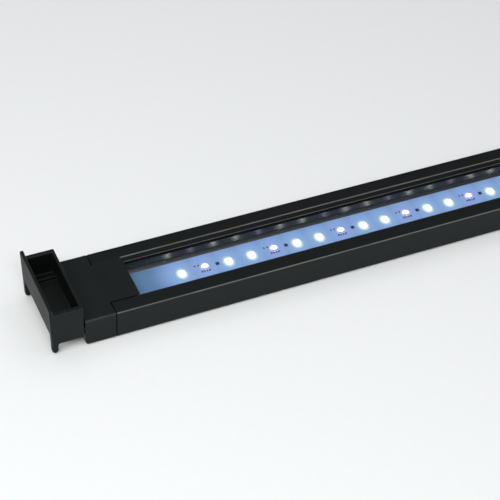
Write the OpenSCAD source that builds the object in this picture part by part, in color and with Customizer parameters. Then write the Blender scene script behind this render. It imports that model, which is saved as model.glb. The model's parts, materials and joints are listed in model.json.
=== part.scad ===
// Submersible light bar for an aquarium, with a docking mount that slides out of each end.
// The bar lies on its flat back and its light points up (+Z). In use it is turned over.
// X runs along the bar, Y across it. The origin is the centre of the flat back face.

/* [Bar] */
// Length of the bar without its docking mounts
bar_l = 472; // [436:36:616]
// Width of the bar
bar_w = 61.7; // [60:0.1:66]
// Height of the bar
bar_h = 23.1; // [23:0.1:26]
// Length of each plastic end cap
cap_l = 22.5; // [20:0.5:26]
// Radius of the bar's long back edges
back_r = 1.5; // [0.5:0.1:2]
// Radius of the bar's long front edges
front_r = 0.8; // [0.3:0.1:1]
// Radius under the outer end of each end cap
cap_end_r = 4; // [1:0.5:5]

/* [Light channel] */
// Distance from the bar's end to the channel's opening
channel_end = 44.2; // [38:0.2:50]
// Half width of the opening in the front face
mouth_half = 19.9; // [19.5:0.1:20.5]
// Half width of the opening between the two lips
lip_half = 17; // [16.5:0.1:17.5]
// Height that the sloped bevel drops from the front face to the lip
bevel_drop = 2.6; // [1.5:0.1:2.8]
// Half width of the channel behind the lips
channel_half = 21.6; // [21.4:0.1:22]
// Thickness of the clear lens
lens_t = 2; // [1.5:0.1:2.2]

/* [Circuit board] */
// Width of the circuit board
pcb_w = 32; // [28:1:36]
// Thickness of the circuit board
pcb_t = 1.6; // [1:0.1:2]
// Distance between neighbouring LEDs
led_pitch = 18; // [18:1:20]
// Distance from the bar's end to the first LED
led_start = 83; // [70:1:90]
// Number of LEDs in the row
led_count = 18; // [9:3:18]
// Side of each square LED package
led_side = 5; // [3.5:0.5:5]
// Height of each LED package
led_t = 0.9; // [0.8:0.1:1.2]

/* [Docking mounts] */
// Distance that each mount slides out
travel = 150; // [60:5:150]
// Gap between a closed mount and the end of the bar
mount_gap = 1.2; // [0.8:0.1:2]
// Reach of each closed mount beyond the end of the bar
mount_reach = 25.3; // [22:0.1:28]
// Width of each mount over its cheeks
mount_w = 62; // [60:1:66]
// Height of the seat that rests on the tank's rim
seat_z = 36.8; // [31:0.1:39]
// Height of the lip's edge, which hooks over the rim
lip_z = 42.9; // [39:0.1:47]
// Height of the lip plate's lower edge
lip_low_z = 17.5; // [17:0.1:25]
// Height of the lower edge of the cheeks
cheek_low_z = 9.1; // [8:0.1:10]
// Height of the short leg at each cheek's outer end
leg_low_z = 1.1; // [0:0.1:6]
// Thickness of the lip plate at the seat
lip_t = 3.4; // [3:0.1:5]
// Thickness of the two cheeks
cheek_t = 3.4; // [2.5:0.1:4]
// Thickness of the wall next to the bar
inner_t = 2; // [1.6:0.1:2.6]
// Radius of the lip plate's two top corners
lip_r = 1.3; // [1:0.1:6]
// Distance that the outer face leans inwards from the lip's edge to the back
mount_lean = 1.7; // [0:0.1:2]

/* [Slides] */
// Width of each sliding tongue
tongue_w = 44; // [40:1:46]
// Thickness of each sliding tongue
tongue_t = 4; // [3:0.5:4]
// Length of each tongue inside the closed bar
tongue_in = 195; // [190:1:198]

/* [Cord inlet] */
// Bore of the rubber seal that grips the cord
cord_r = 2.6; // [2:0.1:3]

/* [Hidden] */

eps = 0.01;
$fn = 48;

// The stack of layers in the bar, from the back face up
back_wall = 2;
slide_top = back_wall + 4.8;
web_top = slide_top + 2.5;
pad_t = 0.4;
pcb_z = web_top + pad_t;
pcb_top = pcb_z + pcb_t;
lens_play = 0.1;
lip_under = bar_h - bevel_drop - 0.4;
lens_top = lip_under - lens_play;
lens_z = lens_top - lens_t;
seal_t = 0.5;
flange_top = lens_z - seal_t;
flange_t = 1;

// The slide channel, with clearance round the tongue
slide_half = 24.3;
tongue_z = (back_wall + slide_top - tongue_t) / 2;
slot_play = 0.3;

// The gasket between an end cap and the housing
gasket_t = 0.8;
gasket_inset = 0.35;
cap_face = cap_l - gasket_t / 2;
housing_start = cap_l + gasket_t / 2;

// The docking mounts' rounded ends
leg_r = 2.1;
leg_in = -19.4;
lip_tip_r = 1.25;

// Screws
cap_screw_r = 1.25;
cap_screw_head_r = 2.3;
cap_screw_low = [bar_w / 2 - 3.1, 6.8];
cap_screw_high = [bar_w / 2 - 4.2, 14];
tongue_screw_u = -8.6;
tongue_screw_ys = [-14, 0, 14];
pcb_screw_u = 31;
pcb_screw_y = 12;

// The reflector's curved walls
reflector_low = 13.2;
reflector_high = lip_half - 0.1;
reflector_wall = 1;
reflector_bend = 5.2;
reflector_lean = 0.215;

// Where the LEDs stand across the bar
white_y = 0;
rgb_y = 1.1;
dish_r = 2;
dish_floor = 0.4;

// The cord's gland on the right end cap
gland_x = bar_l / 2 - 11;
gland_z = 13.4;
gland_y = bar_w / 2;

// Helpers: an arc of points, a bar profile drawn in Y and Z, and the two ends
function arc(cx, cy, r, a0, a1, n = 5) =
    [for (i = [0:n]) let (a = a0 + (a1 - a0) * i / n) [cx + r * cos(a), cy + r * sin(a)]];

function mirror_y(points) = [for (i = [len(points) - 1:-1:0]) [-points[i][0], points[i][1]]];

module along_x(x0, x1) {
    translate([x0, 0, 0])
        rotate([90, 0, 90])
            linear_extrude(height = x1 - x0)
                children();
}

// Places its children at an end of the bar: u = 0 is the bar's end and u grows inwards
module at_left() {
    translate([-bar_l / 2, 0, 0])
        children();
}

module at_right() {
    mirror([1, 0, 0])
        at_left()
            children();
}

// A cylinder from x0 to x1 along X
module rod_x(r, x0, x1) {
    translate([x0, 0, 0])
        rotate([0, 90, 0])
            cylinder(r = r, h = x1 - x0);
}

// A cylinder from y0 to y1 along Y
module rod_y(r, y0, y1, sides = 48) {
    translate([0, y0, 0])
        rotate([-90, 0, 0])
            cylinder(r = r, h = y1 - y0, $fn = sides);
}

// The bar's outer cross-section
module bar_outline(inset = 0) {
    half = bar_w / 2 - inset;
    top = bar_h - inset;
    polygon(concat(
        arc(half - back_r, inset + back_r, back_r, -90, 0),
        arc(half - front_r, top - front_r, front_r, 0, 90, 4),
        arc(front_r - half, top - front_r, front_r, 90, 180, 4),
        arc(back_r - half, inset + back_r, back_r, 180, 270)));
}

// The light channel's mouth, with its sloped bevels, grown sideways by grow
module mouth_outline(grow = 0) {
    bevel_low = bar_h - bevel_drop;
    polygon([
        [-lip_half - grow, lip_under - eps],
        [lip_half + grow, lip_under - eps],
        [lip_half + grow, bevel_low],
        [mouth_half + grow, bar_h],
        [mouth_half + grow, bar_h + 1],
        [-mouth_half - grow, bar_h + 1],
        [-mouth_half - grow, bar_h],
        [-lip_half - grow, bevel_low]]);
}

// The four screw axes of an end cap, in Y and Z. The gland takes the place of one.
module each_cap_screw(gland = false) {
    for (side = [-1, 1])
        for (spot = [cap_screw_low, cap_screw_high])
            if (!(gland && side > 0 && spot == cap_screw_high))
                translate([0, side * spot[0], spot[1]])
                    children();
}

// The aluminium extrusion
module housing() {
    color("#17181a")
        along_x(housing_start - bar_l / 2, bar_l / 2 - housing_start)
            difference() {
                bar_outline();
                mouth_outline();
                translate([-channel_half, web_top])
                    square([2 * channel_half, lip_under - web_top]);
                translate([-slide_half, back_wall])
                    square([2 * slide_half, slide_top - back_wall]);
                for (side = [-1, 1]) {
                    for (spot = [cap_screw_low, cap_screw_high])
                        translate([side * spot[0], spot[1]])
                            circle(r = cap_screw_r + 0.05);
                    translate([side * 12 - 2, -eps])
                        square([4, 0.5]);
                }
            }
}

// One end cap: a block, and a cover that runs over the end of the light channel
module end_cap(gland = false) {
    cover_low = lip_under + 0.05;
    cover_half = lip_half - 0.3;
    cover_flare = mouth_half - 0.8;
    difference() {
        union() {
            intersection() {
                along_x(0, cap_face)
                    bar_outline();
                translate([0, bar_w / 2, 0])
                    rotate([90, 0, 0])
                        linear_extrude(height = bar_w)
                            polygon(concat(
                                arc(cap_end_r, cap_end_r, cap_end_r, 180, 270, 8),
                                [[cap_face + 1, 0], [cap_face + 1, bar_h]],
                                arc(0.6, bar_h - 0.6, 0.6, 90, 180, 3)));
            }
            along_x(cap_face - 1, channel_end)
                polygon([
                    [-cover_half, cover_low],
                    [cover_half, cover_low],
                    [cover_half, cover_low + 0.7],
                    [cover_flare, bar_h],
                    [-cover_flare, bar_h],
                    [-cover_half, cover_low + 0.7]]);
        }
        // The slot that the tongue slides through
        along_x(-1, cap_face + 1)
            translate([-tongue_w / 2 - slot_play, tongue_z - slot_play])
                square([tongue_w + 2 * slot_play, tongue_t + 2 * slot_play]);
        // The pocket for the wiring
        along_x(3, cap_face + 1)
            translate([-20, web_top])
                square([40, flange_top - web_top]);
        // Countersunk screw holes
        each_cap_screw(gland) {
            rod_x(cap_screw_r + 0.15, -1, cap_face + 1);
            translate([-eps, 0, 0])
                rotate([0, 90, 0])
                    cylinder(r1 = cap_screw_head_r + 0.05, r2 = cap_screw_r + 0.15, h = 1.6);
        }
    }
}

module end_cap_left() {
    color("#141415")
        at_left()
            end_cap();
}

module end_cap_right() {
    color("#141415")
        difference() {
            at_right()
                end_cap(gland = true);
            translate([gland_x, 0, gland_z])
                rod_y(5.05, 19, gland_y + 1);
        }
}

module cap_gasket() {
    difference() {
        along_x(cap_face, housing_start)
            intersection() {
                bar_outline(gasket_inset);
                union() {
                    for (side = [-1, 1])
                        translate([side > 0 ? 22.1 : -31.5, 0])
                            square([9.4, bar_h]);
                    translate([-28, slide_top + 0.3])
                        square([56, 1.4]);
                }
            }
        along_x(0, bar_l / 2)
            translate([-slide_half, back_wall - 0.2])
                square([2 * slide_half, slide_top - back_wall + 0.4]);
        each_cap_screw()
            rod_x(cap_screw_r + 0.15, 0, bar_l / 4);
    }
}

module cap_gasket_left() {
    color("#0b0b0c")
        at_left()
            cap_gasket();
}

module cap_gasket_right() {
    color("#0b0b0c")
        at_right()
            cap_gasket();
}

// A countersunk screw along +X, with its flat head at x = 0 and a cross recess
module flat_screw(r, head_r, length) {
    difference() {
        union() {
            rod_x(r, 0.1, length);
            rotate([0, 90, 0])
                cylinder(r1 = head_r, r2 = r, h = 1.5);
        }
        for (turn = [0, 90])
            rotate([turn, 0, 0])
                translate([-1, -1.6, -0.3])
                    cube([2, 3.2, 0.6]);
    }
}

module cap_screws(gland = false) {
    each_cap_screw(gland)
        translate([0.1, 0, 0])
            flat_screw(cap_screw_r, cap_screw_head_r, 36);
}

module cap_screws_left() {
    color("#8d8f92")
        at_left()
            cap_screws();
}

module cap_screws_right() {
    color("#8d8f92")
        at_right()
            cap_screws(gland = true);
}

// The clear strip that slides under the lips
module lens() {
    half = bar_l / 2 - housing_start - 1.5;
    color("#dfe9f2", 0.35)
        translate([-half, 0.2 - channel_half, lens_z])
            cube([2 * half, 2 * channel_half - 0.4, lens_t]);
}

module lens_seal() {
    end = bar_l / 2 - housing_start;
    color("#26282b")
        for (side = [-1, 1]) {
            translate([-end + 0.1, side > 0 ? 18.4 : -channel_half + 0.2, flange_top])
                cube([2 * end - 0.2, channel_half - 18.6, seal_t]);
            translate([side > 0 ? end - 1.4 : 0.1 - end, 0.3 - channel_half, lens_z])
                cube([1.3, 2 * channel_half - 0.6, lens_t]);
        }
}

// The glossy trough round the LEDs: a curved wall on each side, and an end wall at each end.
// A wall bends steeply up from the board, and then leans slightly outwards to its top.
function reflector_y(h) =
    let (rest = flange_top - pcb_top - reflector_bend,
        bend_y = reflector_high - reflector_lean * rest,
        below = max(0, reflector_bend - h),
        k = (bend_y - reflector_lean * reflector_bend - reflector_low) / pow(reflector_bend, 2))
    reflector_high - reflector_lean * (flange_top - pcb_top - h) - k * below * below;

module reflector() {
    heights = concat([for (i = [0:7]) reflector_bend * i / 7], [flange_top - pcb_top]);
    inner = [for (h = heights) [reflector_y(h), pcb_top + h]];
    side_wall = concat(inner, [
        [channel_half - 0.2, flange_top],
        [channel_half - 0.2, flange_top - flange_t],
        [reflector_high + reflector_wall + 0.2, flange_top - flange_t],
        [reflector_high - 0.1, pcb_top + reflector_bend / 2],
        [reflector_low + reflector_wall + 0.6, pcb_top]]);
    end = bar_l / 2 - channel_end;
    color("#101114") {
        along_x(-end - 1, end + 1)
            polygon(side_wall);
        along_x(-end - 1, end + 1)
            polygon(mirror_y(side_wall));
        for (x = [-end - 1, end])
            along_x(x, x + 1)
                polygon(concat(inner, mirror_y(inner)));
    }
}

module thermal_pad() {
    color("#8fa3b3")
        translate([-bar_l / 2 + 40, 2 - pcb_w / 2, web_top])
            cube([bar_l - 80, pcb_w - 4, pad_t]);
}

module each_pcb_screw() {
    for (end = [-1, 1])
        for (side = [-1, 1])
            translate([end * (bar_l / 2 - pcb_screw_u), side * pcb_screw_y, 0])
                children();
}

module pcb() {
    half = bar_l / 2 - 26;
    color("#f2f5f7")
        difference() {
            translate([-half, -pcb_w / 2, pcb_z])
                cube([2 * half, pcb_w, pcb_t]);
            each_pcb_screw()
                translate([0, 0, pcb_z - 1])
                    cylinder(r = 1.7, h = pcb_t + 2);
        }
}

module pcb_screws() {
    color("#b9bcc0")
        each_pcb_screw()
            difference() {
                union() {
                    translate([0, 0, web_top + 0.05])
                        cylinder(r = 1.5, h = pcb_top - web_top + 0.5);
                    translate([0, 0, pcb_top])
                        cylinder(r = 2.8, h = 1.8);
                }
                for (turn = [0, 90])
                    rotate([0, 0, turn])
                        translate([-1.5, -0.3, pcb_top + 0.8])
                            cube([3, 0.6, 2]);
            }
}

// The push-in terminal where the cord's leads end
module pcb_terminal() {
    color("#e9e7df")
        translate([bar_l / 2 - 42, -7, pcb_top])
            difference() {
                cube([7, 14, 5]);
                for (way = [0:3])
                    translate([3, 1.75 + 3.5 * way, 2])
                        rod_x(0.9, 0, 5);
            }
}

// The row of LEDs. Every third one, starting with the second, is a colour LED.
function led_x(i) = led_start + led_pitch * i - bar_l / 2;
function is_colour(i) = i % 3 == 1;

module each_led(colour) {
    for (i = [0:led_count - 1])
        if (is_colour(i) == colour)
            translate([led_x(i), colour ? rgb_y : white_y, pcb_top])
                children();
}

module led_dish(low, high) {
    translate([0, 0, low])
        cylinder(r1 = dish_r - 0.2 + 0.4 * (low - dish_floor), h = high - low,
            r2 = dish_r - 0.2 + 0.4 * (high - dish_floor), $fn = 32);
}

module led_case() {
    difference() {
        translate([-led_side / 2, -led_side / 2, 0])
            cube([led_side, led_side, led_t]);
        led_dish(dish_floor, led_t + 0.1);
    }
    for (side = [-1, 1])
        for (lead = [-1.6, 0, 1.6])
            translate([lead - 0.45, side > 0 ? led_side / 2 : -led_side / 2 - 0.35, 0])
                cube([0.9, 0.35, 0.25]);
}

module white_led_cases() {
    color("#f6f6f2")
        each_led(false)
            led_case();
}

module white_led_phosphors() {
    color("#fff2c4")
        each_led(false)
            led_dish(dish_floor, led_t - 0.05);
}

module rgb_led_cases() {
    color("#eef0f2")
        each_led(true)
            led_case();
}

module rgb_led_dies() {
    color("#7a6cff")
        each_led(true)
            for (turn = [90, 210, 330])
                rotate([0, 0, turn])
                    translate([0.55, -0.3, dish_floor])
                        cube([0.6, 0.6, 0.15]);
}

module rgb_led_windows() {
    color("#dce6ff", 0.5)
        each_led(true)
            led_dish(dish_floor + 0.2, led_t - 0.05);
}

// Small parts by each colour LED: a driver chip after it, four resistors on its near side
// and two capacitors before it
module resistors() {
    color("#202226")
        each_led(true) {
            translate([8.2, -2.1, 0])
                cube([2.6, 3.4, 0.6]);
            for (tick = [-1.5:1:1.5])
                translate([1.9 * tick - 1.3, -5.3, 0])
                    cube([1.1, 1.9, 0.45]);
            for (x = [-7.4, -4.7])
                translate([x, 1.6, 0])
                    cube([1, 1.6, 0.45]);
        }
}

// The cord's inlet: a hexagonal body screwed into the cap, a domed nut and a rubber seal
module gland_body() {
    color("#1b1c1e")
        translate([gland_x, 0, gland_z])
            difference() {
                union() {
                    rod_y(5, 21, gland_y + 6);
                    rotate([0, 30, 0])
                        rod_y(7.5, gland_y, gland_y + 3, 6);
                }
                rod_y(3.2, 20, gland_y + 8);
                rod_y(3.95, gland_y + 0.5, gland_y + 8);
            }
}

module gland_nut() {
    color("#202124")
        translate([gland_x, gland_y, gland_z])
            difference() {
                union() {
                    rod_y(6.3, 3.1, 9);
                    for (rib = [0:11])
                        rotate([0, 30 * rib, 0])
                            translate([6.1, 0, 0])
                                rod_y(0.6, 3.1, 8.4, 16);
                    translate([0, 9, 0])
                        rotate([-90, 0, 0])
                            cylinder(r1 = 6.3, r2 = 5, h = 2);
                }
                rod_y(5.05, 3, 6.2);
                rod_y(3.95, 3, 12);
            }
}

module gland_seal() {
    color("#2b2c2e")
        translate([gland_x, gland_y, gland_z])
            difference() {
                rod_y(3.9, 0.6, 11.6);
                rod_y(cord_r, 0, 13);
            }
}

// A docking mount: two cheeks, a seat, a wall next to the bar and a lip plate on the outside.
// It stands on a block that is screwed to the sliding tongue.
// The outer face leans inwards towards the back by mount_lean over its whole height.
function outer_u(z) = mount_lean * (lip_z - z) / lip_z - mount_reach;

// One cheek's side view. A short rounded leg reaches down at its outer end.
module cheek_outline() {
    fillet = 2;
    leg_left = outer_u(leg_low_z + leg_r);
    polygon(concat(
        [[-mount_gap, cheek_low_z], [-mount_gap, seat_z], [outer_u(seat_z), seat_z]],
        arc(leg_left + leg_r, leg_low_z + leg_r, leg_r, 180, 270, 6),
        arc(leg_in - leg_r, leg_low_z + leg_r, leg_r, 270, 360, 6),
        [for (i = [0:4]) let (a = 180 - 22.5 * i)
            [leg_in + fillet + fillet * cos(a), cheek_low_z - fillet + fillet * sin(a)]]));
}

// The lip plate's side view, thin at its rounded top
module lip_outline(trough_out) {
    tip = outer_u(lip_z - lip_tip_r) + lip_tip_r;
    polygon(concat(
        [[trough_out, lip_low_z], [trough_out, seat_z]],
        arc(tip, lip_z - lip_tip_r, lip_tip_r, 0, 180, 8),
        [[outer_u(lip_low_z), lip_low_z]]));
}

module mount() {
    half = mount_w / 2;
    in_half = half - cheek_t;
    trough_out = lip_t - mount_reach;
    trough_in = -mount_gap - inner_t;
    floor_z = 16.5;
    floor_t = 2;
    block_out = -14;
    difference() {
        union() {
            translate([0, half, 0])
                rotate([90, 0, 0])
                    linear_extrude(height = mount_w)
                        cheek_outline();
            intersection() {
                along_x(-mount_reach, trough_out)
                    polygon(concat(
                        [[-half, lip_low_z], [half, lip_low_z]],
                        arc(half - lip_r, lip_z - lip_r, lip_r, 0, 90, 8),
                        arc(lip_r - half, lip_z - lip_r, lip_r, 90, 180, 8)));
                translate([0, half + 1, 0])
                    rotate([90, 0, 0])
                        linear_extrude(height = mount_w + 2)
                            lip_outline(trough_out);
            }
        }
        // The trough between the walls
        translate([trough_out, -in_half, floor_z + floor_t])
            cube([trough_in - trough_out, 2 * in_half, lip_z]);
        // The open front and the space under the floor
        translate([-mount_reach - 1, -in_half, 0])
            cube([trough_out - 1.6 + mount_reach + 1, 2 * in_half, lip_low_z]);
        translate([-mount_reach - 1, -in_half, 0])
            cube([trough_in + mount_reach + 1, 2 * in_half, floor_z]);
    }
    // The block under the floor, with its screw holes
    difference() {
        translate([block_out, -20, tongue_z + tongue_t])
            cube([trough_in - block_out + 0.5, 40, floor_z - tongue_z - tongue_t + 0.5]);
        for (y = tongue_screw_ys)
            translate([tongue_screw_u, y, 0])
                cylinder(r = 1.55, h = floor_z - 1);
    }
    // Ribs across the trough's floor
    for (side = [-1, 1])
        translate([trough_out - 0.5, side * 20.2 - 0.75, floor_z + floor_t - 0.5])
            cube([trough_in - trough_out + 1, 1.5, 3.5]);
}

module mount_left() {
    color("#151617")
        at_left()
            mount();
}

module mount_right() {
    color("#151617")
        at_right()
            mount();
}

// The flat tongue, with a groove along each side of its front face
module tongue() {
    end = -15;
    difference() {
        translate([end, -tongue_w / 2, tongue_z])
            cube([tongue_in - end, tongue_w, tongue_t]);
        for (side = [-1, 1])
            translate([6, side * 13 - 2, tongue_z + tongue_t - 0.8])
                cube([tongue_in - 16, 4, 1]);
        for (y = tongue_screw_ys)
            translate([tongue_screw_u, y, tongue_z]) {
                translate([0, 0, -1])
                    cylinder(r = 1.65, h = tongue_t + 2);
                translate([0, 0, -eps])
                    cylinder(r1 = 2.85, r2 = 1.65, h = 1.6);
            }
    }
}

module tongue_left() {
    color("#9a9da1")
        at_left()
            tongue();
}

module tongue_right() {
    color("#9a9da1")
        at_right()
            tongue();
}

module tongue_screws() {
    for (y = tongue_screw_ys)
        translate([tongue_screw_u, y, tongue_z + 0.05])
            rotate([0, -90, 0])
                flat_screw(1.5, 2.8, 11);
}

module tongue_screws_left() {
    color("#8d8f92")
        at_left()
            tongue_screws();
}

module tongue_screws_right() {
    color("#8d8f92")
        at_right()
            tongue_screws();
}

// The plastic shoe on the tongue's inner end. It guides the tongue and stops it at full reach.
module tongue_shoe() {
    half = slide_half - 0.3;
    stop = cap_face + 0.6 + travel;
    low = back_wall + 0.2;
    height = slide_top - back_wall - 0.4;
    for (side = [-1, 1])
        translate([stop, side > 0 ? tongue_w / 2 : -half, low])
            cube([tongue_in - stop, half - tongue_w / 2, height]);
    translate([tongue_in, -half, low])
        cube([12, 2 * half, height]);
}

module tongue_shoe_left() {
    color("#e4e2dc")
        at_left()
            tongue_shoe();
}

module tongue_shoe_right() {
    color("#e4e2dc")
        at_right()
            tongue_shoe();
}

housing();
end_cap_left();
end_cap_right();
cap_gasket_left();
cap_gasket_right();
cap_screws_left();
cap_screws_right();
lens();
lens_seal();
reflector();
thermal_pad();
pcb();
pcb_screws();
pcb_terminal();
white_led_cases();
white_led_phosphors();
rgb_led_cases();
rgb_led_dies();
rgb_led_windows();
resistors();
gland_body();
gland_nut();
gland_seal();
mount_left();
tongue_left();
tongue_screws_left();
tongue_shoe_left();
mount_right();
tongue_right();
tongue_screws_right();
tongue_shoe_right();
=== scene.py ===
import json
import math

import bmesh
import bpy
from mathutils import Matrix, Vector


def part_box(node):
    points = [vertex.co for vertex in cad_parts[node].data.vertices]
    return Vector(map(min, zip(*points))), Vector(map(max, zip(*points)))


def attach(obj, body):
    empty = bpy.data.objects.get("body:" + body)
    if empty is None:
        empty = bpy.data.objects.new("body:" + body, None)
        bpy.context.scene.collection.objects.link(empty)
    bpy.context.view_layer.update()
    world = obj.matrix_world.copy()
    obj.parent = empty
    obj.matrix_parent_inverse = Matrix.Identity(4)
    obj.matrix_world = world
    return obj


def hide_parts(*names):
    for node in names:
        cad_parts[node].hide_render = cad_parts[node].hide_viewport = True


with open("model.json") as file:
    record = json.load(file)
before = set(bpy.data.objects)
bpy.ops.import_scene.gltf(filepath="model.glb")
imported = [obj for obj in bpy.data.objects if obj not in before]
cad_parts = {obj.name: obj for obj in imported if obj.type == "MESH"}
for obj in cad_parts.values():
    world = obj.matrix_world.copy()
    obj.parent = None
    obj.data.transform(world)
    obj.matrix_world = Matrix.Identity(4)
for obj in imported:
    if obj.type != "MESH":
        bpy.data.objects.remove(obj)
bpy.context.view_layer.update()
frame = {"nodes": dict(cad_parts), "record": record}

# The looks of the LED aquarium light: a procedural material for every CAD node, and pieces
# with rounded edges or finer detail that stand for some of the nodes.

MM = 0.001
nodes = frame["nodes"]
record = frame["record"]
slot_of = {part["node"]: part["material_slot"] for part in record["subparts"]}
body_of = {n: body for body, members in record["behaviour"]["bodies"].items() for n in members}

# Places that the materials and the new pieces share. Most are read from the frame.
house_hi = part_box("housing")[1]
board_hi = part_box("pcb")[1]
white_lo, white_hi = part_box("white_led_cases")
rgb_lo, rgb_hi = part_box("rgb_led_cases")
trough_lo, trough_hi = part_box("reflector")
LED_HALF = 2.5 * MM
LED_X0 = white_lo.x + LED_HALF
LED_PITCH = (rgb_lo.x + LED_HALF) - LED_X0
LED_COUNT = round((white_hi.x - LED_HALF - LED_X0) / LED_PITCH) + 1
LEDS = [LED_X0 + LED_PITCH * i for i in range(LED_COUNT)]
COLOUR_LEDS = LEDS[1::3]
WHITE_LEDS = [x for i, x in enumerate(LEDS) if i % 3 != 1]
WHITE_Y = (white_lo.y + white_hi.y) / 2
RGB_Y = (rgb_lo.y + rgb_hi.y) / 2
BOARD_Z = board_hi.z
BAR_HALF = house_hi.y
BAR_TOP = house_hi.z
END_WALL = 1 * MM
MOUTH_X = trough_hi.x - END_WALL
# The mouth of the light channel: its two slopes run from MOUTH_Y at the top to LIP_Y, LIP_Z.
MOUTH_Y = 19.9 * MM
LIP_Y = 17 * MM
LIP_Z = BAR_TOP - 2.6 * MM

DARK_METAL = (0.0026, 0.0031, 0.0034)
LIGHT_METAL = (0.0048, 0.0055, 0.0059)
CLOUD_METAL = (0.0062, 0.0066, 0.0066)
# The gloss of the black metal and plastic is faintly cyan.
COOL_GLOSS = (0.84, 1.0, 0.99)
# Edges of the extrusion lightened by wear and by painted highlights, brightest on the near outer
# edge and the far mouth and lip edges: Y, Z, reach and colour
EXTRUSION_EDGE_WEAR_AND_HIGHLIGHT = (
    (-BAR_HALF, BAR_TOP, 0.85 * MM, (0.17, 0.162, 0.15)),
    (BAR_HALF, BAR_TOP, 0.6 * MM, (0.02, 0.02, 0.019)),
    (MOUTH_Y, BAR_TOP, 0.7 * MM, (0.13, 0.12, 0.11)),
    (-MOUTH_Y, BAR_TOP, 0.5 * MM, (0.018, 0.018, 0.017)),
    (LIP_Y, LIP_Z, 0.5 * MM, (0.1, 0.094, 0.086)),
    (-LIP_Y, LIP_Z, 0.4 * MM, (0.015, 0.015, 0.014)),
)
# Edges of the end caps lightened by wear and by a painted highlight on the near edge, likewise
CAP_EDGE_WEAR_AND_HIGHLIGHT = (
    (-BAR_HALF, BAR_TOP, 1.5 * MM, (0.035, 0.035, 0.034)),
    (BAR_HALF, BAR_TOP, 1.2 * MM, (0.012, 0.012, 0.012)),
)


# ---------------------------------------------------------------- materials

class Look:
    """A material whose Principled shader is fed by procedural nodes in object space."""

    def __init__(self, name):
        self.mat = bpy.data.materials.new(name)
        self.mat.use_nodes = True
        self.tree = self.mat.node_tree
        self.tree.nodes.clear()
        self.out = self.tree.nodes.new("ShaderNodeOutputMaterial")
        self.bsdf = self.tree.nodes.new("ShaderNodeBsdfPrincipled")
        self.link(self.bsdf.outputs[0], self.out.inputs["Surface"])
        self.place = self.tree.nodes.new("ShaderNodeTexCoord").outputs["Object"]
        self.normal = None

    def link(self, a, b):
        self.tree.links.new(a, b)

    def feed(self, socket, value):
        """Sets a socket to a plain value, or links it to another node's output."""
        if isinstance(value, bpy.types.NodeSocket):
            self.link(value, socket)
        elif isinstance(value, (tuple, list)) and len(value) == 3 and socket.type == "RGBA":
            socket.default_value = (*value, 1)
        else:
            socket.default_value = value

    def set(self, **values):
        for name, value in values.items():
            self.feed(self.bsdf.inputs[name.replace("_", " ")], value)

    def node(self, kind, inputs=(), **settings):
        n = self.tree.nodes.new(kind)
        for key, value in settings.items():
            setattr(n, key, value)
        for key, value in dict(inputs).items():
            self.feed(n.inputs[key], value)
        return n

    def stretched(self, factors):
        return self.node("ShaderNodeVectorMath", {0: self.place, 1: factors},
                         operation="MULTIPLY").outputs[0]

    def noise(self, size, detail=3.0, rough=0.55, stretch=(1, 1, 1)):
        where = self.place if stretch == (1, 1, 1) else self.stretched(stretch)
        return self.node("ShaderNodeTexNoise", {"Vector": where, "Scale": 1 / size,
                         "Detail": detail, "Roughness": rough}).outputs["Fac"]

    def cells(self, size, feature="F1"):
        return self.node("ShaderNodeTexVoronoi", {"Vector": self.place, "Scale": 1 / size},
                         feature=feature).outputs["Distance"]

    def remap(self, value, a, b, c, d, smooth=False):
        n = self.node("ShaderNodeMapRange", {0: value, 1: a, 2: b, 3: c, 4: d})
        if smooth:
            n.interpolation_type = "SMOOTHSTEP"
        return n.outputs[0]

    def math(self, op, a, b=0.0, c=0.0):
        n = self.node("ShaderNodeMath", {0: a, 1: b, 2: c}, operation=op)
        return n.outputs[0]

    def mix(self, fac, a, b):
        n = self.tree.nodes.new("ShaderNodeMix")
        n.data_type = "RGBA"
        self.feed(n.inputs[0], fac)
        self.feed(n.inputs[6], a)
        self.feed(n.inputs[7], b)
        return n.outputs[2]

    def xyz(self):
        n = self.node("ShaderNodeSeparateXYZ", {0: self.place})
        return n.outputs[0], n.outputs[1], n.outputs[2]

    def bump(self, height, depth, strength=1.0):
        """Stacks a bump of the given depth in metres on the bumps already there."""
        n = self.node("ShaderNodeBump", {"Height": height, "Distance": depth,
                      "Strength": strength})
        if self.normal is not None:
            self.link(self.normal, n.inputs["Normal"])
        self.normal = n.outputs[0]
        self.link(self.normal, self.bsdf.inputs["Normal"])


def edge_wear_and_highlight(m, base, edges, patchy):
    """Lightens base near the given edges, which run along the bar, as wear and painted highlight."""
    x, y, z = m.xyz()
    section = m.node("ShaderNodeCombineXYZ", {0: y, 1: z, 2: 0.0}).outputs[0]
    for corner_y, corner_z, reach, wear_and_highlight in edges:
        away = m.node("ShaderNodeVectorMath", {0: section, 1: (corner_y, corner_z, 0)},
                      operation="DISTANCE").outputs["Value"]
        near = m.remap(away, reach * 0.4, reach, 1, 0, smooth=True)
        if abs(corner_y) <= MOUTH_Y:
            # The cover of each end cap keeps the ends of this edge from being lightened.
            inside = m.remap(m.math("ABSOLUTE", x), MOUTH_X, MOUTH_X + END_WALL, 1, 0)
            near = m.math("MULTIPLY", near, inside)
        # Painted highlight and wear: the base colour lightens towards each edge.
        base = m.mix(m.math("MULTIPLY", near, patchy), base, wear_and_highlight)
    return base


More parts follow.
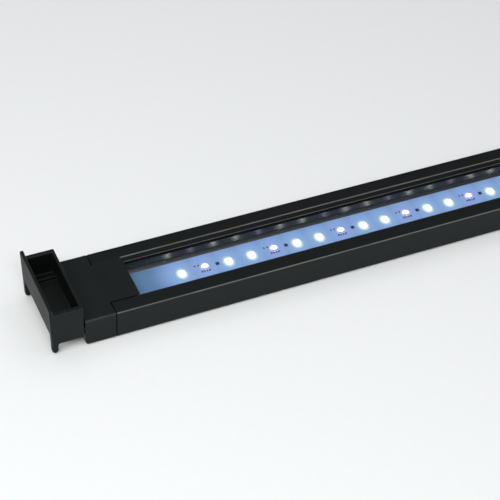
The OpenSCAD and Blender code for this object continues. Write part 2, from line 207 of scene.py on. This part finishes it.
def anodised():
    """Black anodised extrusion: fine die lines along the bar, and edges lightened by wear and
    painted highlights.
    """
    m = Look("anodised_black")
    lines = m.noise(1 * MM, 4, 0.6, (0.012, 1.6, 1.6))
    cloud = m.noise(22 * MM, 4, 0.6)
    patchy = m.remap(m.noise(9 * MM, 4, 0.7, (0.25, 1, 1)), 0.3, 0.62, 0.55, 1.0)
    base = m.mix(m.remap(lines, 0.32, 0.68, 0, 1), DARK_METAL, LIGHT_METAL)
    base = m.mix(m.remap(cloud, 0.35, 0.7, 0, 0.4), base, CLOUD_METAL)
    base = edge_wear_and_highlight(m, base, EXTRUSION_EDGE_WEAR_AND_HIGHLIGHT, patchy)
    rough = m.math("ADD", m.remap(lines, 0.3, 0.7, 0.3, 0.4),
                   m.remap(cloud, 0.3, 0.7, -0.02, 0.05))
    # The two slopes of the mouth are blasted matt, so that they don't mirror the LEDs.
    out = m.math("ABSOLUTE", m.xyz()[1])
    slope = m.math("MULTIPLY", m.remap(out, LIP_Y - 0.6 * MM, LIP_Y - 0.3 * MM, 0, 1),
                   m.remap(out, MOUTH_Y - 0.3 * MM, MOUTH_Y, 1, 0))
    rough = m.math("ADD", rough, m.math("MULTIPLY", slope, 0.4))
    m.bump(lines, 0.006 * MM, 0.5)
    m.set(Base_Color=base, Roughness=rough, Specular_IOR_Level=0.2, Specular_Tint=COOL_GLOSS)
    return m.mat


def moulded(name, dark, light, rough, grain_depth, spec, edges=()):
    """Spark-textured black plastic with faint flow marks and rubbed high spots.

    edges lists edges that run along the bar and are lightened by wear and painted highlight: Y, Z,
    reach and colour.
    """
    m = Look(name)
    grain = m.cells(0.42 * MM, "SMOOTH_F1")
    pores = m.noise(0.25 * MM, 2, 0.5)
    flow = m.noise(14 * MM, 5, 0.62, (1, 0.45, 1))
    scuff = m.noise(1.6 * MM, 5, 0.75, (0.25, 1.0, 0.6))
    base = m.mix(m.remap(flow, 0.3, 0.7, 0, 1), dark, light)
    base = m.mix(m.remap(scuff, 0.66, 0.8, 0, 0.35), base, tuple(3.2 * c for c in light))
    # Painted highlight and wear along the given edges.
    base = edge_wear_and_highlight(m, base, edges, m.remap(flow, 0.3, 0.6, 0.6, 1.0))
    roughness = m.math("ADD", m.remap(flow, 0.3, 0.7, rough - 0.05, rough + 0.05),
                       m.remap(pores, 0.3, 0.7, -0.04, 0.04))
    m.bump(flow, 0.05 * MM, 0.25)
    m.bump(grain, grain_depth, 0.6)
    m.bump(pores, grain_depth * 0.5, 0.5)
    m.set(Base_Color=base, Roughness=roughness, Specular_IOR_Level=spec,
          Specular_Tint=COOL_GLOSS)
    return m.mat


def rubber():
    """Black rubber with fine pores and a little dust."""
    m = Look("black_rubber")
    dust = m.noise(2.5 * MM, 5, 0.7)
    pores = m.noise(0.2 * MM, 2, 0.5)
    base = m.mix(m.remap(dust, 0.45, 0.72, 0, 0.5), (0.0022, 0.0022, 0.0024), (0.006, 0.006, 0.006))
    m.bump(pores, 0.02 * MM, 0.5)
    m.set(Base_Color=base, Roughness=m.remap(dust, 0.3, 0.7, 0.75, 0.9), Specular_IOR_Level=0.1)
    return m.mat


def steel(name, tone, rough):
    """Turned stainless steel with a fine lay and darker stains here and there."""
    m = Look(name)
    lay = m.noise(0.5 * MM, 4, 0.6, (0.2, 1, 2.5))
    stain = m.noise(3 * MM, 4, 0.6)
    base = m.mix(m.remap(stain, 0.4, 0.75, 0, 0.45), tone, tuple(c * 0.55 for c in tone))
    m.bump(lay, 0.01 * MM, 0.4)
    m.set(Base_Color=base, Metallic=1.0, Roughness=m.remap(lay, 0.3, 0.7, rough - 0.06, rough + 0.1))
    return m.mat


def brushed_tongue():
    """Rolled aluminium strip: long brushed lines along the slide."""
    m = Look("tongue_aluminium")
    lines = m.noise(0.6 * MM, 5, 0.65, (0.01, 1.5, 1.5))
    cloud = m.noise(18 * MM, 4, 0.6)
    scratch = m.noise(2.2 * MM, 3, 0.8, (0.02, 1, 1))
    base = m.mix(m.remap(lines, 0.3, 0.7, 0, 1), (0.36, 0.365, 0.37), (0.58, 0.585, 0.59))
    base = m.mix(m.remap(scratch, 0.66, 0.74, 0, 0.7), base, (0.2, 0.2, 0.205))
    rough = m.math("ADD", m.remap(lines, 0.3, 0.7, 0.26, 0.4), m.remap(cloud, 0.3, 0.7, 0, 0.08))
    m.bump(lines, 0.012 * MM, 0.5)
    m.set(Base_Color=base, Metallic=1.0, Roughness=rough)
    return m.mat


def clear_lens():
    """Clear strip: see-through, with more gloss at a flat angle, and faint hairlines."""
    m = Look("lens_clear")
    hair = m.noise(0.8 * MM, 4, 0.7, (0.03, 1.2, 1))
    smear = m.noise(16 * MM, 5, 0.6)
    tint = m.mix(m.remap(smear, 0.35, 0.7, 0, 1), (0.975, 0.985, 0.995), (0.955, 0.975, 0.99))
    see = m.node("ShaderNodeBsdfTransparent", {"Color": tint})
    m.bump(hair, 0.004 * MM, 0.4)
    gloss = m.node("ShaderNodeBsdfAnisotropic", {"Color": (1, 1, 1),
                   "Roughness": m.remap(smear, 0.35, 0.7, 0.04, 0.1)})
    m.link(m.normal, gloss.inputs["Normal"])
    # The facing term is the same on both faces of the strip, unlike a Fresnel node's.
    facing = m.node("ShaderNodeLayerWeight", {"Blend": 0.5}).outputs["Facing"]
    share = m.math("MULTIPLY_ADD", m.math("POWER", facing, 5.0), 0.75, 0.02)
    both = m.node("ShaderNodeMixShader", {0: share})
    m.link(see.outputs[0], both.inputs[1])
    m.link(gloss.outputs[0], both.inputs[2])
    m.tree.nodes.remove(m.bsdf)
    m.link(both.outputs[0], m.out.inputs["Surface"])
    return m.mat


def gloss_trough():
    """Glossy black trough wall that mirrors the LEDs as soft smears."""
    m = Look("trough_gloss")
    wave = m.noise(30 * MM, 3, 0.5, (0.4, 1, 1))
    draw = m.noise(0.7 * MM, 4, 0.6, (0.03, 1, 1))
    base = m.mix(m.remap(wave, 0.35, 0.65, 0, 1), (0.0052, 0.0048, 0.0046), (0.0085, 0.0078, 0.0075))
    m.bump(draw, 0.003 * MM, 0.4)
    m.bump(wave, 0.04 * MM, 0.3)
    m.set(Base_Color=base, Roughness=m.remap(draw, 0.3, 0.7, 0.22, 0.28),
          Specular_IOR_Level=0.95)
    return m.mat


def from_led(m, centre_y, tall=1.0):
    """Distance in the board's plane from the nearest LED, and which kind of LED it is.

    centre_y is one Y for both kinds, or None where each kind has its own. tall stretches
    the pattern across the board.
    """
    x, y, _ = m.xyz()
    step = m.math("DIVIDE", m.math("SUBTRACT", x, LED_X0), LED_PITCH)
    index = m.math("ROUND", m.math("MINIMUM", m.math("MAXIMUM", step, 0.0), LED_COUNT - 1.0))
    colour_led = m.math("COMPARE", m.math("FLOORED_MODULO", index, 3.0), 1.0, 0.1)
    led_y = m.remap(colour_led, 0, 1, WHITE_Y, RGB_Y) if centre_y is None else centre_y
    dx = m.math("MULTIPLY", m.math("SUBTRACT", step, index), LED_PITCH)
    dy = m.math("DIVIDE", m.math("SUBTRACT", y, led_y), tall)
    away = m.math("SQRT", m.math("ADD", m.math("MULTIPLY", dx, dx), m.math("MULTIPLY", dy, dy)))
    return away, colour_led


def board():
    """Circuit board: cool masked surface with painted LED light glowing round each LED, and none
    under the covers.
    """
    m = Look("board_mask")
    away, colour_led = from_led(m, None, 1.25)
    white_led = m.math("SUBTRACT", 1.0, colour_led)
    open_part = m.remap(m.math("ABSOLUTE", m.xyz()[0]), MOUTH_X - END_WALL, MOUTH_X, 1, 0)
    wide = m.remap(away, 1.5 * MM, 26 * MM, 1, 0, smooth=True)
    tinge = m.remap(away, 2.6 * MM, 11 * MM, 1, 0, smooth=True)
    halo = m.remap(away, 2.7 * MM, 5.2 * MM, 1, 0, smooth=True)
    core = m.remap(away, 2.1 * MM, 3.3 * MM, 1, 0, smooth=True)
    colour_core = m.remap(away, 2.2 * MM, 3.9 * MM, 0.8, 0, smooth=True)
    glass = m.noise(0.9 * MM, 3, 0.6)
    blotch = m.noise(11 * MM, 4, 0.6, (0.5, 1, 1))
    base = m.mix(m.remap(blotch, 0.35, 0.65, 0, 1), (0.075, 0.15, 0.29), (0.09, 0.17, 0.32))
    base = m.mix(m.remap(glass, 0.4, 0.7, 0, 0.25), base, (0.12, 0.2, 0.34))
    # Painted light: the emission stands for LED light falling on the board, as a wide glow, tinges,
    # halos and cores round each LED.
    shine = m.mix(wide, (0.03, 0.056, 0.085), (0.2, 0.282, 0.48))
    shine = m.mix(m.math("MULTIPLY", tinge, m.math("MULTIPLY", colour_led, 0.5)), shine,
                  (0.19, 0.205, 0.47))
    shine = m.mix(m.math("MULTIPLY", tinge, m.math("MULTIPLY", white_led, 0.35)), shine,
                  (0.16, 0.3, 0.44))
    shine = m.mix(m.math("MULTIPLY", halo, m.math("MULTIPLY", white_led, 0.75)), shine,
                  (0.82, 0.86, 0.42))
    shine = m.mix(m.math("MULTIPLY", core, white_led), shine, (1.0, 1.05, 0.95))
    shine = m.mix(m.math("MULTIPLY", colour_core, colour_led), shine, (0.8, 0.76, 1.0))
    m.bump(glass, 0.01 * MM, 0.25)
    m.set(Base_Color=base, Roughness=m.remap(blotch, 0.3, 0.7, 0.36, 0.5),
          Specular_IOR_Level=0.3, Emission_Color=m.mix(open_part, (0, 0, 0), shine),
          Emission_Strength=1.0)
    return m.mat


def led_case(name, glow, rim, edge, strength, centre_y, tall):
    """White package lit from inside: it glows round its cup, and with rim further out.

    edge is a darker colour at the package's edges, painted shade where the light from inside reaches
    less.
    """
    m = Look(name)
    away, _ = from_led(m, centre_y, tall)
    grain = m.noise(0.35 * MM, 3, 0.6)
    shine = m.mix(m.remap(away, 1.8 * MM, 3.4 * MM, 0, 1, smooth=True), glow, rim)
    base = m.mix(m.remap(grain, 0.3, 0.7, 0, 1), (0.8, 0.8, 0.77), (0.88, 0.88, 0.86))
    # Painted shade: the base colour darkens towards the package's edges.
    base = m.mix(m.remap(away, 2.2 * MM, 3.2 * MM, 0, 1, smooth=True), base, edge)
    m.bump(grain, 0.01 * MM, 0.3)
    m.set(Base_Color=base, Roughness=m.remap(grain, 0.3, 0.7, 0.38, 0.5),
          Emission_Color=shine, Emission_Strength=strength)
    return m.mat


def lit(name, inner, outer, strength, centre_y, reach):
    """A resin surface that gives light, inner in its middle and outer from reach on."""
    m = Look(name)
    away, _ = from_led(m, centre_y)
    grain = m.noise(0.2 * MM, 2, 0.6)
    shine = m.mix(m.remap(away, 0, reach, 0, 1, smooth=True), inner, outer)
    m.bump(grain, 0.01 * MM, 0.3)
    m.set(Base_Color=m.mix(m.remap(grain, 0.3, 0.7, 0, 0.3), inner, outer),
          Roughness=m.remap(grain, 0.3, 0.7, 0.2, 0.34),
          Emission_Color=shine, Emission_Strength=strength)
    return m.mat


def plain_moulded(name, dark, light, rough):
    """Light-coloured moulded plastic or silicone with faint flow marks."""
    m = Look(name)
    flow = m.noise(5 * MM, 4, 0.6)
    grain = m.noise(0.3 * MM, 3, 0.5)
    m.bump(grain, 0.015 * MM, 0.4)
    m.set(Base_Color=m.mix(m.remap(flow, 0.3, 0.7, 0, 1), dark, light),
          Roughness=m.remap(grain, 0.3, 0.7, rough - 0.05, rough + 0.06),
          Specular_IOR_Level=0.4)
    return m.mat


def ceramic_chip():
    """Dark grained body of the small parts on the board."""
    m = Look("chip_ceramic")
    grain = m.noise(0.18 * MM, 3, 0.6)
    m.bump(grain, 0.01 * MM, 0.4)
    m.set(Base_Color=m.mix(grain, (0.012, 0.013, 0.016), (0.03, 0.031, 0.036)),
          Roughness=m.remap(grain, 0.3, 0.7, 0.35, 0.5))
    return m.mat


def solder():
    """Tin solder with the uneven gloss of a cooled drop."""
    m = Look("solder_tin")
    cool = m.noise(0.4 * MM, 4, 0.6)
    m.bump(cool, 0.02 * MM, 0.4)
    m.set(Base_Color=m.mix(cool, (0.5, 0.52, 0.55), (0.78, 0.8, 0.83)), Metallic=1.0,
          Roughness=m.remap(cool, 0.3, 0.7, 0.22, 0.4))
    return m.mat


LOOKS = {
    "black_anodised": anodised(),
    "cap_plastic": moulded("cap_plastic", (0.004, 0.0049, 0.005), (0.0068, 0.0078, 0.008),
                           rough=0.44, grain_depth=0.02 * MM, spec=0.2, edges=CAP_EDGE_WEAR_AND_HIGHLIGHT),
    "mount_plastic": moulded("mount_plastic", (0.003, 0.0034, 0.0033), (0.0052, 0.0056, 0.0054),
                             rough=0.5, grain_depth=0.026 * MM, spec=0.22),
    "gasket_rubber": rubber(),
    "screw_steel": steel("screw_steel", tone=(0.52, 0.52, 0.53), rough=0.3),
    "lens_clear": clear_lens(),
    "reflector_black": gloss_trough(),
    "thermal_silicone": plain_moulded("thermal_silicone", (0.3, 0.37, 0.45),
                                      (0.37, 0.44, 0.52), rough=0.6),
    "white_mask": board(),
    "terminal_plastic": plain_moulded("terminal_plastic", (0.7, 0.68, 0.62),
                                      (0.8, 0.78, 0.72), rough=0.45),
    "led_case": led_case("led_case_white", glow=(1.2, 1.2, 1.1), rim=(0.5, 0.62, 0.4),
                         edge=(0.3, 0.36, 0.34), strength=1.2, centre_y=WHITE_Y, tall=1.15),
    "phosphor": lit("phosphor", inner=(0.93, 1.0, 0.97), outer=(0.08, 0.09, 0.06),
                    strength=38.0, centre_y=WHITE_Y, reach=2.1 * MM),
    "colour_die": lit("colour_die", inner=(0.62, 0.6, 1.0), outer=(0.5, 0.45, 1.0),
                      strength=6.0, centre_y=RGB_Y, reach=1.2 * MM),
    "led_window": lit("led_window", inner=(0.6, 0.5, 1.0), outer=(0.12, 0.1, 0.16),
                      strength=24.0, centre_y=RGB_Y, reach=1.9 * MM),
    "chip_black": ceramic_chip(),
    "gland_nylon": moulded("gland_nylon", (0.004, 0.004, 0.0043), (0.0065, 0.0065, 0.0068),
                           rough=0.4, grain_depth=0.015 * MM, spec=0.25),
    "tongue_metal": brushed_tongue(),
    "shoe_plastic": plain_moulded("shoe_plastic", (0.66, 0.65, 0.6), (0.76, 0.75, 0.71),
                                  rough=0.4),
}
RGB_CASE = led_case("led_case_rgb", glow=(1.1, 1.05, 1.15), rim=(0.22, 0.24, 0.5),
                    edge=(0.12, 0.16, 0.3), strength=1.0, centre_y=RGB_Y, tall=0.78)
SOLDER = solder()
# A lighter, glossier copy of the mount plastic for its rounded edges: painted highlight along them,
# with some wear.
MOUNT_EDGE_HIGHLIGHT = moulded("mount_edge_highlight", (0.0075, 0.0078, 0.0074), (0.012, 0.0122, 0.0118),
                     rough=0.38, grain_depth=0.01 * MM, spec=0.3)

for node, obj in nodes.items():
    look = RGB_CASE if node == "rgb_led_cases" else LOOKS[slot_of[node]]
    obj.data.materials.clear()
    obj.data.materials.append(look)


# ---------------------------------------------------------------- pieces that refine a CAD node

# Points this close are one, and folds under FLAT are taken out of a copied mesh.
WELD = 2e-6
FLAT = math.radians(0.3)
# Shading is smooth over folds under SMOOTH, and only folds over SHARP are rounded.
SMOOTH = math.radians(32)
SHARP = math.radians(35)
# An edge is parallel to an axis where its direction's part along it is over this.
PARALLEL = 0.999


def finish_piece(name, bm, node, looks):
    """Turns a bmesh into a named piece that stands for a node, on its body and in its slot.

    Its shading is smooth and breaks at real edges.
    """
    mesh = bpy.data.meshes.new(name)
    bm.to_mesh(mesh)
    bm.free()
    for look in looks:
        mesh.materials.append(look)
    mesh.shade_smooth()
    mesh.set_sharp_from_angle(angle=SMOOTH)
    obj = bpy.data.objects.new(name, mesh)
    bpy.context.scene.collection.objects.link(obj)
    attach(obj, body_of[node])
    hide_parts(node)
    return obj


def clean_copy(node):
    """The node's mesh with its seams welded and its flat faces merged."""
    bm = bmesh.new()
    bm.from_mesh(nodes[node].data)
    bmesh.ops.remove_doubles(bm, verts=bm.verts, dist=WELD)
    bmesh.ops.dissolve_limit(bm, angle_limit=FLAT, verts=bm.verts, edges=bm.edges)
    return bm


def soften(node, width, shortest, only=None, edge_look=None):
    """Rounds the node's long sharp edges, as a mould or a die leaves them.

    Edges under shortest stay sharp. only picks some of the edges, and edge_look is the
    material of the rounded ones.
    """
    bm = clean_copy(node)
    picked = []
    for e in bm.edges:
        if not e.is_manifold or e.calc_face_angle() < SHARP or e.calc_length() < shortest:
            continue
        if only is not None and not only(e):
            continue
        picked.append(e)
    made = bmesh.ops.bevel(bm, geom=picked, offset=width, offset_type="OFFSET", segments=3,
                           profile=0.5, affect="EDGES", clamp_overlap=False)["faces"]
    looks = [nodes[node].data.materials[0]]
    if edge_look:
        looks.append(edge_look)
        for face in made:
            face.material_index = 1
    piece = finish_piece(f"{node}_softened", bm, node, looks)
    weighted = piece.modifiers.new("flat_faces", "WEIGHTED_NORMAL")
    weighted.keep_sharp = True


def long_x(edge):
    """Whether an edge runs along most of the bar."""
    d = (edge.verts[1].co - edge.verts[0].co).normalized()
    return abs(d.x) > PARALLEL and edge.calc_length() > 100 * MM


def along_y(edge):
    """Whether an edge runs across the bar."""
    d = (edge.verts[1].co - edge.verts[0].co).normalized()
    return abs(d.y) > PARALLEL


soften("housing", width=0.3 * MM, shortest=1 * MM, only=long_x)
soften("lens_seal", width=0.14 * MM, shortest=1 * MM)
soften("pcb_terminal", width=0.25 * MM, shortest=1 * MM)
soften("gland_body", width=0.3 * MM, shortest=2.5 * MM, only=along_y)
soften("white_led_cases", width=0.12 * MM, shortest=0.8 * MM)
soften("rgb_led_cases", width=0.12 * MM, shortest=0.8 * MM)
for side in ("left", "right"):
    soften(f"end_cap_{side}", width=0.22 * MM, shortest=2.2 * MM)
    soften(f"cap_gasket_{side}", width=0.15 * MM, shortest=1 * MM)
    soften(f"tongue_{side}", width=0.25 * MM, shortest=2 * MM)
    soften(f"tongue_shoe_{side}", width=0.4 * MM, shortest=2 * MM)
    soften(f"mount_{side}", width=0.35 * MM, shortest=0.5 * MM, edge_look=MOUNT_EDGE_HIGHLIGHT)


# ---------------------------------------------------------------- small parts on the board

# The parts round a colour LED, in X and Y from its centre
CHIP_X = (8.2 * MM, 10.8 * MM)
CHIP_Y = (-2.1 * MM, 1.3 * MM)
CHIP_HEIGHT = 0.6 * MM
RESISTOR_WIDTH = 1.1 * MM
RESISTOR_PITCH = 1.9 * MM
RESISTOR_SHIFT = -1.3 * MM
RESISTOR_Y = (-5.3 * MM, -3.4 * MM)
CAPACITOR_WIDTH = 1 * MM
CAPACITOR_X = (-7.4 * MM, -4.7 * MM)
CAPACITOR_Y = (1.6 * MM, 3.2 * MM)
SMALL_HEIGHT = 0.45 * MM
LEAD_LENGTH = 0.45 * MM
LEAD_HALF = 0.2 * MM
# How far a solder fillet reaches out, and how thick it ends
FILLET_REACH = 0.16 * MM
FILLET_TOE = 0.02 * MM


def rounded_block(bm, low, high, radius, index):
    """A block with rounded edges between two corners, in a given material."""
    size = [b - a for a, b in zip(low, high)]
    middle = [(a + b) / 2 for a, b in zip(low, high)]
    cube = bmesh.ops.create_cube(bm, size=1, matrix=Matrix.LocRotScale(
        Vector(middle), None, Vector(size)))["verts"]
    edges = list({e for v in cube for e in v.link_edges})
    made = bmesh.ops.bevel(bm, geom=edges, offset=radius, offset_type="OFFSET", segments=2,
                           profile=0.5, affect="EDGES", clamp_overlap=True)
    faces = set(made["faces"]) | {f for v in made["verts"] for f in v.link_faces}
    for face in faces:
        face.material_index = index


def fillet(bm, side, x, y, half):
    """A wedge of solder with a hollow slope, at one end of a small part."""
    height = SMALL_HEIGHT * 0.5
    steps = 4
    rings = []
    for step in range(steps + 1):
        t = step / steps
        out = y + side * FILLET_REACH * t
        up = BOARD_Z + height * (1 - t) ** 2 + FILLET_TOE
        wide = half * (1 + 0.12 * t)
        corners = ((x - wide, BOARD_Z), (x - wide, up), (x + wide, up), (x + wide, BOARD_Z))
        rings.append([bm.verts.new((across, out, z)) for across, z in corners])
    faces = [bm.faces.new(rings[0]), bm.faces.new(reversed(rings[-1]))]
    for one, two in zip(rings, rings[1:]):
        for i in range(4):
            j = (i + 1) % 4
            faces.append(bm.faces.new((one[i], two[i], two[j], one[j])))
    for face in faces:
        face.material_index = 1


def small_part(bm, x0, x1, y0, y1):
    """A surface-mounted part along Y: dark body, bright ends, and a solder fillet at each end."""
    top = BOARD_Z + SMALL_HEIGHT
    end = (y1 - y0) * 0.13
    less = 0.03 * MM
    rounding = 0.06 * MM
    rounded_block(bm, (x0, y0, BOARD_Z), (x1, y0 + end, top), rounding, 1)
    rounded_block(bm, (x0 + less, y0 + end * 0.9, BOARD_Z),
                  (x1 - less, y1 - end * 0.9, top - less), rounding, 0)
    rounded_block(bm, (x0, y1 - end, BOARD_Z), (x1, y1, top), rounding, 1)
    for side, edge in ((-1, y0), (1, y1)):
        fillet(bm, side, (x0 + x1) / 2, edge, (x1 - x0) / 2)


def driver_chip(bm, x0, x1, y0, y1):
    """The driver by a colour LED: a dark moulded body with three bent leads on each side."""
    z = BOARD_Z
    rounded_block(bm, (x0, y0 + LEAD_LENGTH, z + 0.05 * MM),
                  (x1, y1 - LEAD_LENGTH, z + CHIP_HEIGHT), 0.1 * MM, 0)
    for side, edge in ((-1, y0), (1, y1)):
        for share in (0.2, 0.5, 0.8):
            x = x0 + (x1 - x0) * share
            inner = edge - side * (LEAD_LENGTH + 0.1 * MM)
            low, high = sorted((edge, inner))
            rounded_block(bm, (x - LEAD_HALF, low, z), (x + LEAD_HALF, high, z + 0.16 * MM),
                          0.04 * MM, 1)
            rounded_block(bm, (x - LEAD_HALF, low + 0.12 * MM, z),
                          (x + LEAD_HALF, high - 0.1 * MM, z + CHIP_HEIGHT * 0.55),
                          0.05 * MM, 1)


def board_parts():
    """A driver, four resistors and two capacitors round each colour LED."""
    bm = bmesh.new()
    y = RGB_Y
    for x in COLOUR_LEDS:
        driver_chip(bm, x + CHIP_X[0], x + CHIP_X[1], y + CHIP_Y[0], y + CHIP_Y[1])
        for count in range(4):
            left = x + RESISTOR_PITCH * (count - 1.5) + RESISTOR_SHIFT
            small_part(bm, left, left + RESISTOR_WIDTH, y + RESISTOR_Y[0], y + RESISTOR_Y[1])
        for place in CAPACITOR_X:
            left = x + place
            small_part(bm, left, left + CAPACITOR_WIDTH, y + CAPACITOR_Y[0], y + CAPACITOR_Y[1])
    bmesh.ops.recalc_face_normals(bm, faces=bm.faces)
    finish_piece("board_parts", bm, "resistors", [LOOKS["chip_black"], SOLDER])


# ---------------------------------------------------------------- trough walls and LED resin

WALL_H = trough_hi.z - BOARD_Z
WALL_TOP_Y = LIP_Y - 0.1 * MM
WALL_BEND = 2.7 * MM
# How far the wall leans out for each step up: at its top, at WALL_BEND and at the board
WALL_SLOPES = (0.262, 0.355, 1.586)
WALL_THICK = 1.2 * MM
FOOT_THICK = 1.6 * MM
FLANGE = 1 * MM


def wall_y(h):
    """How far out the trough's wall stands at height h over the board.

    Its slope grows evenly from the top down to WALL_BEND, and then faster down to the board.
    """
    top, middle, low = WALL_SLOPES
    above = min(WALL_H - h, WALL_H - WALL_BEND)
    below = max(WALL_BEND - h, 0)
    return (WALL_TOP_Y
            - top * above - (middle - top) / (WALL_H - WALL_BEND) * above ** 2 / 2
            - middle * below - (low - middle) / WALL_BEND * below ** 2 / 2)


def extruded(bm, outline, x0, x1):
    """A closed prism along X from an outline in Y and Z."""
    rings = [[bm.verts.new((x, y, z)) for y, z in outline] for x in (x0, x1)]
    bm.faces.new(rings[0])
    bm.faces.new(reversed(rings[1]))
    for i in range(len(outline)):
        j = (i + 1) % len(outline)
        bm.faces.new((rings[0][i], rings[1][i], rings[1][j], rings[0][j]))


def trough_walls():
    """The glossy walls round the LEDs, curved smoothly from the board up to the lens."""
    bm = bmesh.new()
    steps = 28
    heights = [WALL_H * i / steps for i in range(steps + 1)]
    inner = [(wall_y(h), BOARD_Z + h) for h in heights]
    top = trough_hi.z
    wall = inner + [(trough_hi.y, top), (trough_hi.y, top - FLANGE),
                    (WALL_TOP_Y + WALL_THICK, top - FLANGE),
                    (WALL_TOP_Y - 0.1 * MM, BOARD_Z + 2.6 * MM),
                    (inner[0][0] + FOOT_THICK, BOARD_Z)]
    extruded(bm, wall, trough_lo.x, trough_hi.x)
    extruded(bm, [(-y, z) for y, z in wall], trough_lo.x, trough_hi.x)
    # Each end wall reaches a little into the side walls, and stops just short of their ends.
    sunk, short = 0.3 * MM, 0.01 * MM
    end = [(y + sunk, z) for y, z in inner]
    end += [(-y, z) for y, z in reversed(end)]
    for x in (trough_lo.x, trough_hi.x - END_WALL):
        extruded(bm, end, x + short, x + END_WALL - short)
    bmesh.ops.recalc_face_normals(bm, faces=bm.faces)
    finish_piece("trough_walls", bm, "reflector", [LOOKS["reflector_black"]])


def resin(name, node, leds, y, base):
    """The hollow-topped drop of resin in the cup of every LED of one kind.

    base is the height of the drop's base over the board, in millimetres.
    """
    bm = bmesh.new()
    # Radius and height over the board of each ring, in millimetres, from the base up the
    # cup's slope and then over the top to its middle
    rings = ((1.8 + 0.4 * (base - 0.4), base), (1.96, 0.8), (1.97, 0.85), (1.9, 0.835),
             (1.6, 0.8), (1.1, 0.77), (0.55, 0.755))
    sides = 32
    angles = [math.tau * k / sides for k in range(sides)]
    circle = [(math.cos(angle), math.sin(angle)) for angle in angles]
    for x in leds:
        made = []
        for radius, height in rings:
            made.append([bm.verts.new((x + radius * MM * c, y + radius * MM * s,
                                       BOARD_Z + height * MM)) for c, s in circle])
        bm.faces.new(reversed(made[0]))
        for one, two in zip(made, made[1:]):
            for k in range(sides):
                n = (k + 1) % sides
                bm.faces.new((one[k], one[n], two[n], two[k]))
        bm.faces.new(made[-1])
    finish_piece(name, bm, node, [LOOKS[slot_of[node]]])


trough_walls()
board_parts()
resin("phosphor_resin", "white_led_phosphors", WHITE_LEDS, WHITE_Y, base=0.4)
resin("window_resin", "rgb_led_windows", COLOUR_LEDS, RGB_Y, base=0.6)


# ---------------------------------------------------------------- floor, light and camera

def area(name, place, size, target, power, colour):
    """A rectangular soft light at place that shines at target."""
    data = bpy.data.lights.new(name, "AREA")
    data.shape = "RECTANGLE"
    data.size, data.size_y = size
    data.energy = power
    data.color = colour
    lamp = bpy.data.objects.new(name, data)
    lamp.location = place
    lamp.rotation_mode = "QUATERNION"
    lamp.rotation_quaternion = (Vector(target) - Vector(place)).to_track_quat("-Z", "Y")
    bpy.context.scene.collection.objects.link(lamp)


def make_floor():
    """A pale paper floor under the object, which isn't part of it."""
    bm = bmesh.new()
    bmesh.ops.create_grid(bm, x_segments=24, y_segments=24, size=6)
    mesh = bpy.data.meshes.new("floor")
    bm.to_mesh(mesh)
    bm.free()
    m = Look("floor_paper")
    tooth = m.noise(6 * MM, 4, 0.6)
    m.bump(tooth, 0.02 * MM, 0.2)
    m.set(Base_Color=m.mix(tooth, (0.86, 0.86, 0.865), (0.89, 0.89, 0.895)), Roughness=0.9,
          Specular_IOR_Level=0.1)
    mesh.materials.append(m.mat)
    obj = bpy.data.objects.new("floor", mesh)
    obj.location = (0, 0, -0.6 * MM)
    bpy.context.scene.collection.objects.link(obj)


def make_world():
    """A dim and slightly cool sky that fills the shadows."""
    world = bpy.data.worlds.new("studio")
    world.use_nodes = True
    back = world.node_tree.nodes["Background"]
    back.inputs["Color"].default_value = (0.95, 0.97, 1.0, 1)
    back.inputs["Strength"].default_value = 0.22
    bpy.context.scene.world = world


# The camera looks down at the bar's left part from the front and left. Angles are in degrees.
AIM = Vector((-0.0983, 0.00475, 0.0121))
DISTANCE, AZIMUTH, ELEVATION, ROLL = 1.1532, -26.56, 43.53, 4.07
LENS_MM, SENSOR_MM = 115.2, 36


def make_camera():
    """The camera at the photograph's viewing angle."""
    a, e, r = (math.radians(v) for v in (AZIMUTH, ELEVATION, ROLL))
    back = Vector((math.sin(a) * math.cos(e), -math.cos(a) * math.cos(e), math.sin(e)))
    level = Vector((math.cos(a), math.sin(a), 0))
    upright = back.cross(level)
    right = math.cos(r) * level + math.sin(r) * upright
    up = back.cross(right)
    data = bpy.data.cameras.new("camera")
    data.lens, data.sensor_width = LENS_MM, SENSOR_MM
    data.clip_start, data.clip_end = 0.01, 50
    cam = bpy.data.objects.new("camera", data)
    turn = Matrix((right, up, back)).transposed().to_4x4()
    cam.matrix_world = Matrix.Translation(AIM + back * DISTANCE) @ turn
    bpy.context.scene.collection.objects.link(cam)
    bpy.context.scene.camera = cam


make_floor()
make_world()
make_camera()
bpy.context.scene.view_settings.view_transform = "Standard"
area("key_strip", place=(-0.85, -0.85, 1.4), size=(1.9, 0.45), target=(-0.1, 0, 0), power=27,
     colour=(0.975, 1.0, 0.98))
area("top_soft", place=(0.1, 0.25, 2.2), size=(3.0, 3.0), target=(0, 0, 0), power=20,
     colour=(0.97, 0.985, 1.0))
